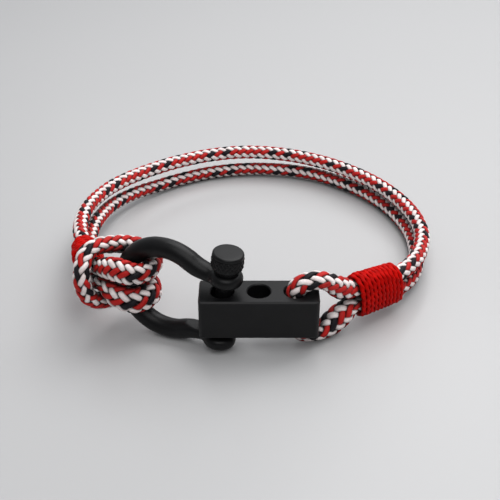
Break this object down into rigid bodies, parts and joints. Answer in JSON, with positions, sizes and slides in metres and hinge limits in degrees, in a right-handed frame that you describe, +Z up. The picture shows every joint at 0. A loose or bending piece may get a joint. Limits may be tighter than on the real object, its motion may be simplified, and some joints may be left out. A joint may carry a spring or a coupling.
{
  "type": "nautical bracelet",
  "caption": "Round braided-rope bracelet whose two strands run from a hitch on a bow shackle to a loop through an adjuster bar, closed by a screw pin.",
  "frame": {"origin": "centre of the bounding box in plan, at the height of the table the bracelet lies on", "axes": "+Z up; +X to the right along the adjuster bar, seen from the front; +Y from the bar to the back of the band"},
  "size_m": [0.0776, 0.0752, 0.0222],
  "materials": {
    "metal": "matte black coating",
    "rope": "braided in red, white and black",
    "thread": "twisted red thread"
  },
  "bodies": {
    "bracelet": {"shackle": "metal", "adjuster_bar": "metal", "band_upper": "rope", "band_lower": "rope", "hitch": "rope", "bar_loop": "rope", "whipping_left": "thread", "whipping_right": "thread"},
    "pin": {"shackle_pin": "metal"}
  },
  "joints": [
    {"name": "pin_draw", "type": "slide", "parent": "bracelet", "child": "pin", "axis": [0.1668, 0, 0.986], "range_m": [0, 0.018]}
  ]
}
